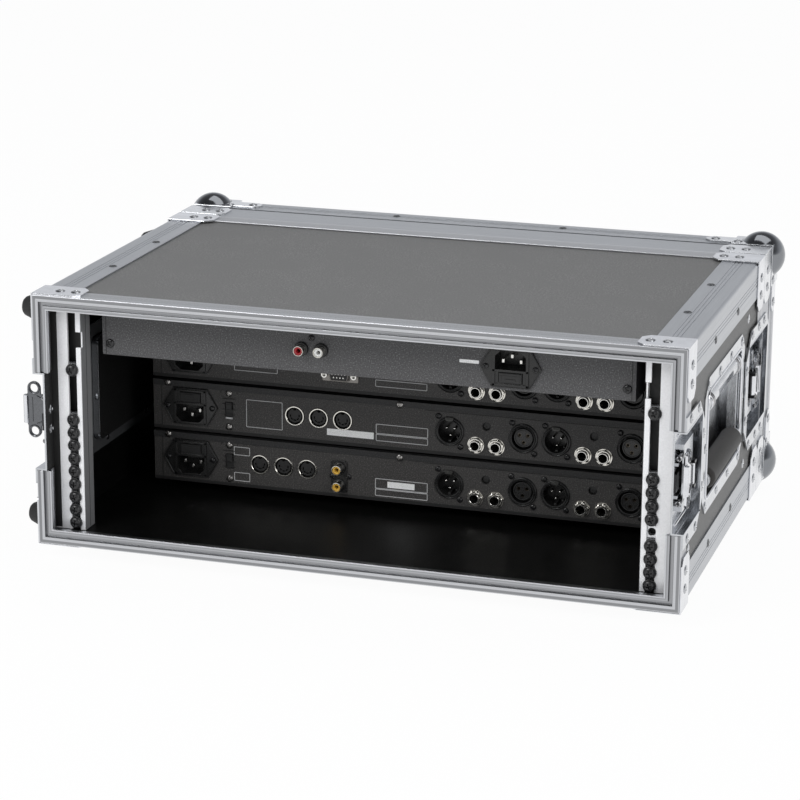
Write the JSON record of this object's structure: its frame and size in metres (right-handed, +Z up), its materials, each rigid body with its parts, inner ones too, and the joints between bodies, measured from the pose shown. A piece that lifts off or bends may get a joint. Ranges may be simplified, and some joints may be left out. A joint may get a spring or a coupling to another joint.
{
  "type": "loaded rack case, effects units seen from the rear",
  "caption": "Double-door 19 inch flight case, rear lid off, loaded with rack effects processors; butterfly latches, recessed spring handles, ball-cornered front lid.",
  "frame": {"origin": "on the floor under the middle of the whole part, so midway between the open wing on the left and the ball corners on the right, and between the rear opening and the front ball corners", "axes": "+X to the right seen from the rear, +Y from the rear opening towards the front lid, +Z up"},
  "size_m": [0.5497, 0.3839, 0.225],
  "materials": {
    "laminate": "satin",
    "anodised": "satin",
    "plated": "polished",
    "rivet_steel": "satin",
    "rail_zinc": "satin",
    "black_steel": "satin",
    "rubber": "matte",
    "grip_foam": "matte",
    "unit_paint": "matte",
    "black_plastic": "matte",
    "board": "matte"
  },
  "bodies": {
    "case": {"top_panel": "laminate", "bottom_panel": "laminate", "left_panel": "laminate", "right_panel": "laminate", "edge_angles": "anodised", "opening_frames": "anodised", "corner_braces": "plated", "case_rivets": "rivet_steel", "rack_rails": "rail_zinc", "rack_screws": "black_steel", "rack_nuts": "rail_zinc", "rubber_feet": "rubber", "left_handle_dish": "plated", "right_handle_dish": "plated", "handle_backplates": "rail_zinc", "latch_dishes": "plated", "unit_a_chassis": "unit_paint", "unit_b_chassis": "unit_paint", "unit_c_chassis": "unit_paint", "unit_d_chassis": "unit_paint", "unit_covers": "unit_paint", "unit_front_panels": "unit_paint", "mains_inlets": "black_plastic", "panel_sockets": "black_plastic", "jack_sockets": "rail_zinc", "circuit_boards": "board", "transformers": "board"},
    "lid": {"lid_panel": "laminate", "lid_rim_boards": "laminate", "lid_frame": "anodised", "lid_edge_angles": "anodised", "lid_corners": "plated", "lid_keepers": "plated", "lid_rivets": "rivet_steel"},
    "left_handle": {"left_handle_bow": "plated", "left_handle_grip": "grip_foam"},
    "right_handle": {"right_handle_bow": "plated", "right_handle_grip": "grip_foam"},
    "rear_left_spindle": {"rear_left_spindle": "plated"},
    "rear_left_wing": {"rear_left_wing": "plated"},
    "rear_left_hook": {"rear_left_hook": "plated"},
    "rear_right_spindle": {"rear_right_spindle": "plated"},
    "rear_right_wing": {"rear_right_wing": "plated"},
    "rear_right_hook": {"rear_right_hook": "plated"},
    "front_left_spindle": {"front_left_spindle": "plated"},
    "front_left_wing": {"front_left_wing": "plated"},
    "front_left_hook": {"front_left_hook": "plated"},
    "front_right_spindle": {"front_right_spindle": "plated"},
    "front_right_wing": {"front_right_wing": "plated"},
    "front_right_hook": {"front_right_hook": "plated"},
    "unit_a_fuse_drawer": {"unit_a_fuse_drawer": "black_plastic"},
    "unit_c_fuse_drawer": {"unit_c_fuse_drawer": "black_plastic"},
    "unit_d_fuse_drawer": {"unit_d_fuse_drawer": "black_plastic"},
    "unit_c_voltage_switch": {"unit_c_voltage_switch": "black_plastic"},
    "unit_d_voltage_switch": {"unit_d_voltage_switch": "black_plastic"},
    "unit_a_power_button": {"unit_a_power_button": "black_plastic"},
    "unit_b_knob": {"unit_b_knob": "anodised"},
    "unit_c_knob": {"unit_c_knob": "anodised"},
    "unit_d_knob": {"unit_d_knob": "anodised"}
  },
  "joints": [
    {"name": "lid_pull", "type": "slide", "parent": "case", "child": "lid", "axis": [0, 1, 0], "range_m": [0, 0.12]},
    {"name": "left_handle_swing", "type": "hinge", "parent": "case", "child": "left_handle", "pos_m": [-0.24515, -0.0335, 0.1485], "axis": [0, 1, 0], "range_deg": [0, 90], "stiffness_Nm_per_rad": 0.25},
    {"name": "right_handle_swing", "type": "hinge", "parent": "case", "child": "right_handle", "pos_m": [0.25985, -0.0335, 0.1485], "axis": [0, -1, 0], "range_deg": [0, 90], "stiffness_Nm_per_rad": 0.25},
    {"name": "rear_left_latch_twist", "type": "hinge", "parent": "case", "child": "rear_left_spindle", "pos_m": [-0.24965, -0.161, 0.1135], "axis": [-1, 0, 0], "range_deg": [0, 180]},
    {"name": "rear_left_latch_flip", "type": "hinge", "parent": "rear_left_spindle", "child": "rear_left_wing", "pos_m": [-0.25085, -0.161, 0.1135], "axis": [0, 0, -1], "range_deg": [-90, 0]},
    {"name": "rear_left_hook_draw", "type": "slide", "parent": "case", "child": "rear_left_hook", "axis": [0, -1, 0], "range_m": [0, 0.012]},
    {"name": "rear_right_latch_twist", "type": "hinge", "parent": "case", "child": "rear_right_spindle", "pos_m": [0.26435, -0.161, 0.1135], "axis": [1, 0, 0], "range_deg": [0, 180]},
    {"name": "rear_right_latch_flip", "type": "hinge", "parent": "rear_right_spindle", "child": "rear_right_wing", "pos_m": [0.26555, -0.161, 0.1135], "axis": [0, 0, 1], "range_deg": [0, 90]},
    {"name": "rear_right_hook_draw", "type": "slide", "parent": "case", "child": "rear_right_hook", "axis": [0, -1, 0], "range_m": [0, 0.012]},
    {"name": "front_left_latch_twist", "type": "hinge", "parent": "case", "child": "front_left_spindle", "pos_m": [-0.24965, 0.09, 0.1135], "axis": [-1, 0, 0], "range_deg": [0, 180]},
    {"name": "front_left_latch_flip", "type": "hinge", "parent": "front_left_spindle", "child": "front_left_wing", "pos_m": [-0.25085, 0.09, 0.1135], "axis": [0, 0, 1], "range_deg": [0, 90]},
    {"name": "front_left_hook_draw", "type": "slide", "parent": "case", "child": "front_left_hook", "axis": [0, 1, 0], "range_m": [0, 0.012]},
    {"name": "front_right_latch_twist", "type": "hinge", "parent": "case", "child": "front_right_spindle", "pos_m": [0.26435, 0.09, 0.1135], "axis": [1, 0, 0], "range_deg": [0, 180]},
    {"name": "front_right_latch_flip", "type": "hinge", "parent": "front_right_spindle", "child": "front_right_wing", "pos_m": [0.26555, 0.09, 0.1135], "axis": [0, 0, -1], "range_deg": [0, 90]},
    {"name": "front_right_hook_draw", "type": "slide", "parent": "case", "child": "front_right_hook", "axis": [0, 1, 0], "range_m": [0, 0.012]},
    {"name": "unit_a_fuse_pull", "type": "slide", "parent": "case", "child": "unit_a_fuse_drawer", "axis": [0, -1, 0], "range_m": [0, 0.016]},
    {"name": "unit_c_fuse_pull", "type": "slide", "parent": "case", "child": "unit_c_fuse_drawer", "axis": [0, -1, 0], "range_m": [0, 0.016]},
    {"name": "unit_d_fuse_pull", "type": "slide", "parent": "case", "child": "unit_d_fuse_drawer", "axis": [0, -1, 0], "range_m": [0, 0.016]},
    {"name": "unit_c_voltage_slide", "type": "slide", "parent": "case", "child": "unit_c_voltage_switch", "axis": [0, 0, -1], "range_m": [0, 0.006]},
    {"name": "unit_d_voltage_slide", "type": "slide", "parent": "case", "child": "unit_d_voltage_switch", "axis": [0, 0, -1], "range_m": [0, 0.006]},
    {"name": "unit_a_power_press", "type": "slide", "parent": "case", "child": "unit_a_power_button", "axis": [0, -1, 0], "range_m": [0, 0.0025], "stiffness_N_per_m": 400},
    {"name": "unit_b_knob_turn", "type": "hinge", "parent": "case", "child": "unit_b_knob", "pos_m": [0.15735, 0.109, 0.14033], "axis": [0, 1, 0], "range_deg": [-150, 150]},
    {"name": "unit_c_knob_turn", "type": "hinge", "parent": "case", "child": "unit_c_knob", "pos_m": [0.15735, 0.109, 0.09588], "axis": [0, 1, 0], "range_deg": [-150, 150]},
    {"name": "unit_d_knob_turn", "type": "hinge", "parent": "case", "child": "unit_d_knob", "pos_m": [0.15735, 0.109, 0.05142], "axis": [0, 1, 0], "range_deg": [-150, 150]}
  ],
  "couplings": [
    {"joint": "rear_left_hook_draw", "follows": "rear_left_latch_twist", "m_per_rad": 0.0038197},
    {"joint": "rear_right_hook_draw", "follows": "rear_right_latch_twist", "m_per_rad": 0.0038197},
    {"joint": "front_left_hook_draw", "follows": "front_left_latch_twist", "m_per_rad": 0.0038197},
    {"joint": "front_right_hook_draw", "follows": "front_right_latch_twist", "m_per_rad": 0.0038197}
  ]
}
